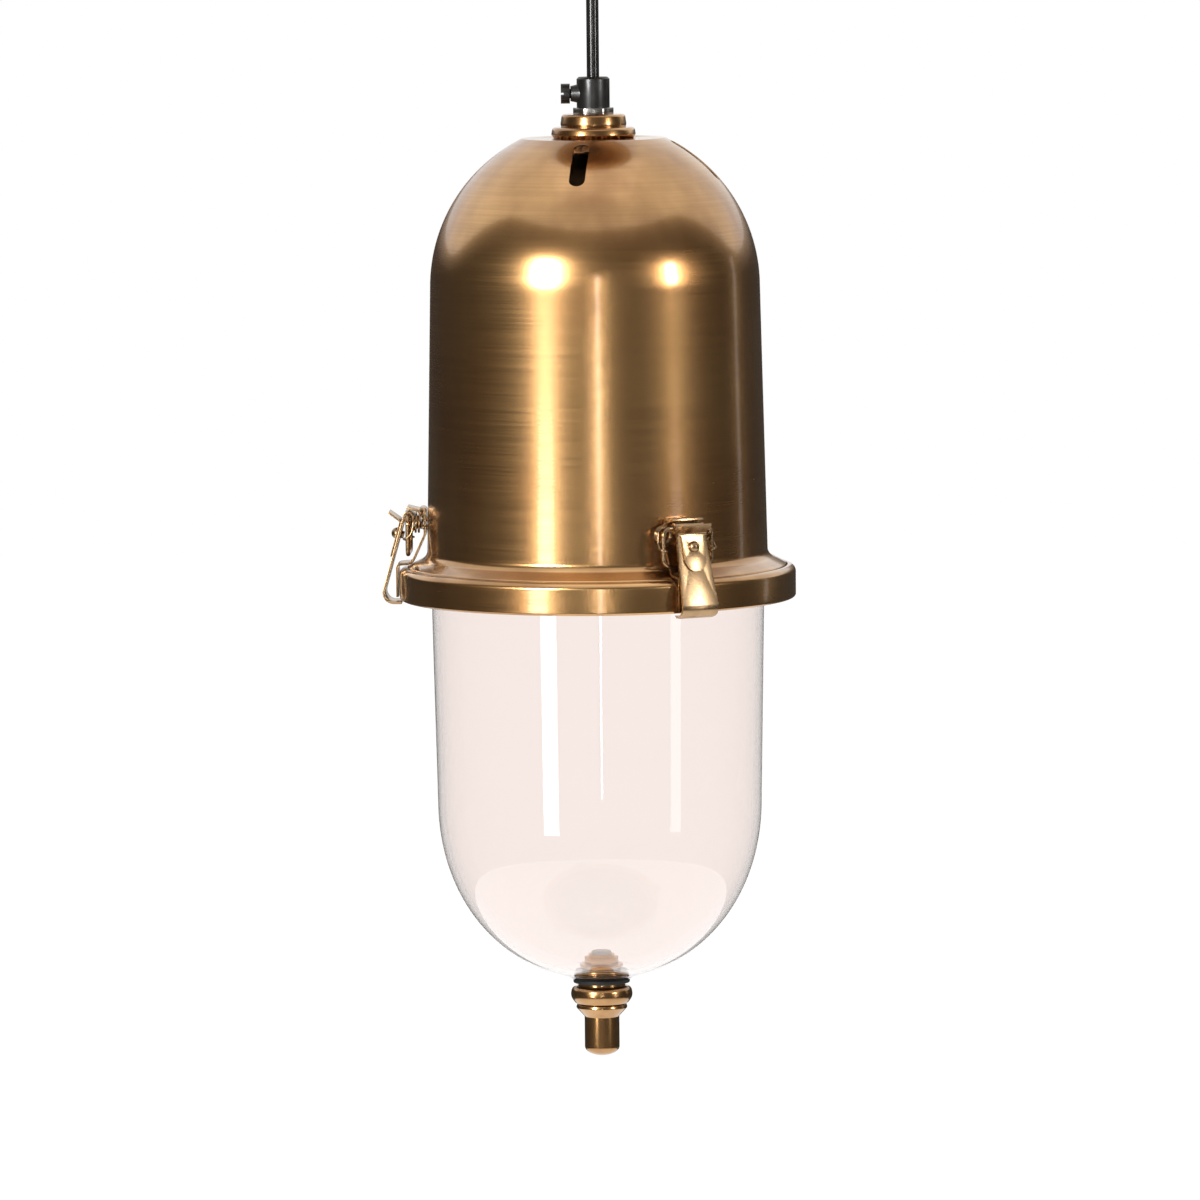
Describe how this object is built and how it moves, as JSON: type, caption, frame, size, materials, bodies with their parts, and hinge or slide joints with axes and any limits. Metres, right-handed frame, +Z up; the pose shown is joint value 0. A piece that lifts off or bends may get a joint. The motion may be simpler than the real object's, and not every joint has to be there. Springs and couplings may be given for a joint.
{
  "type": "hanging lamp",
  "caption": "Hanging lamp with a domed brass top, a clear glass bowl clipped under it by spring clips, a finial below and a flex to a ceiling rose.",
  "frame": {"origin": "middle of the two ceiling screw holes, on the ceiling face of the bracket", "axes": "+Z up, into the ceiling; -Y is the front of the lamp as pictured; +X to the viewer's right"},
  "size_m": [0.2076, 0.1994, 0.5893],
  "materials": {
    "brass": "spun brass, lacquered and aged, fine turning lines, some brown patina",
    "clip_brass": "bent brass sheet and wire, satin",
    "pale_brass": "pale, worn brass, satin",
    "steel": "zinc plated steel",
    "black_plastic": "black moulded plastic",
    "flex": "smooth black flex sheath",
    "core": "brown wire insulation",
    "black_rubber": "black rubber",
    "porcelain": "glazed white ceramic",
    "bright_brass": "bright brass",
    "clear_glass": "clear glass"
  },
  "bodies": {
    "ceiling": {"ceiling_bracket": "steel", "rose_cup": "brass", "rose_screws": "brass", "terminal_block": "porcelain", "terminal_tubes": "bright_brass", "rose_grip": "black_plastic", "rose_nut": "steel", "rose_grip_screw": "black_plastic", "rose_cores": "core", "cord_tail": "flex"},
    "lamp": {"cord": "flex", "cord_grip": "black_plastic", "grip_screw": "black_plastic", "top_nut": "steel", "collar_top": "brass", "collar_base": "brass", "nipple": "steel", "dome": "brass", "dome_washer": "steel", "dome_nut": "steel", "holder_cap": "black_plastic", "holder_shell": "black_plastic", "holder_insulator": "porcelain", "holder_screw_shell": "bright_brass", "holder_contact": "bright_brass", "holder_cores": "core", "bracket_rivets": "clip_brass", "clip_bracket_1": "clip_brass", "clip_spring_1": "clip_brass", "clip_bail_1": "clip_brass", "clip_bracket_2": "clip_brass", "clip_spring_2": "clip_brass", "clip_bail_2": "clip_brass", "clip_bracket_3": "clip_brass", "clip_spring_3": "clip_brass", "clip_bail_3": "clip_brass"},
    "bulb": {"bulb_cap": "steel", "bulb_glass": "clear_glass", "bulb_filaments": "bright_brass"},
    "glass_unit": {"rim_ring": "brass", "seat_gasket": "black_rubber", "top_gasket": "black_rubber", "glass_bowl": "clear_glass", "outer_washer": "black_rubber", "inner_rubber": "black_rubber", "inner_washer": "brass", "inner_nut": "brass", "finial_stud": "steel", "finial_ring": "brass", "finial_barrel": "brass"},
    "strap_1": {"clip_strap_1": "pale_brass", "clip_tongue_1": "pale_brass", "clip_rivet_1": "clip_brass"},
    "strap_2": {"clip_strap_2": "pale_brass", "clip_tongue_2": "pale_brass", "clip_rivet_2": "clip_brass"},
    "strap_3": {"clip_strap_3": "pale_brass", "clip_tongue_3": "pale_brass", "clip_rivet_3": "clip_brass"}
  },
  "joints": [
    {"name": "lamp_swing", "type": "hinge", "parent": "ceiling", "child": "lamp", "pos_m": [0, 0, -0.0375], "axis": [0, 1, 0], "range_deg": [-10, 10]},
    {"name": "bulb_out", "type": "slide", "parent": "lamp", "child": "bulb", "axis": [0, 0, -1], "range_m": [0, 0.03]},
    {"name": "glass_lower", "type": "slide", "parent": "lamp", "child": "glass_unit", "axis": [0, 0, -1], "range_m": [0, 0.06]},
    {"name": "strap_1_swing", "type": "hinge", "parent": "lamp", "child": "strap_1", "pos_m": [-0.09454, 0.0033, -0.3152], "axis": [0.0349, 0.9994, 0], "range_deg": [0, 85]},
    {"name": "strap_2_swing", "type": "hinge", "parent": "lamp", "child": "strap_2", "pos_m": [0.04441, -0.08353, -0.3152], "axis": [-0.8829, -0.4695, 0], "range_deg": [0, 85]},
    {"name": "strap_3_swing", "type": "hinge", "parent": "lamp", "child": "strap_3", "pos_m": [0.05013, 0.08023, -0.3152], "axis": [0.848, -0.5299, 0], "range_deg": [0, 85]}
  ],
  "couplings": [
    {"joint": "strap_1_swing", "follows": "glass_lower", "rad_per_m": 24.72},
    {"joint": "strap_2_swing", "follows": "glass_lower", "rad_per_m": 24.72},
    {"joint": "strap_3_swing", "follows": "glass_lower", "rad_per_m": 24.72}
  ]
}
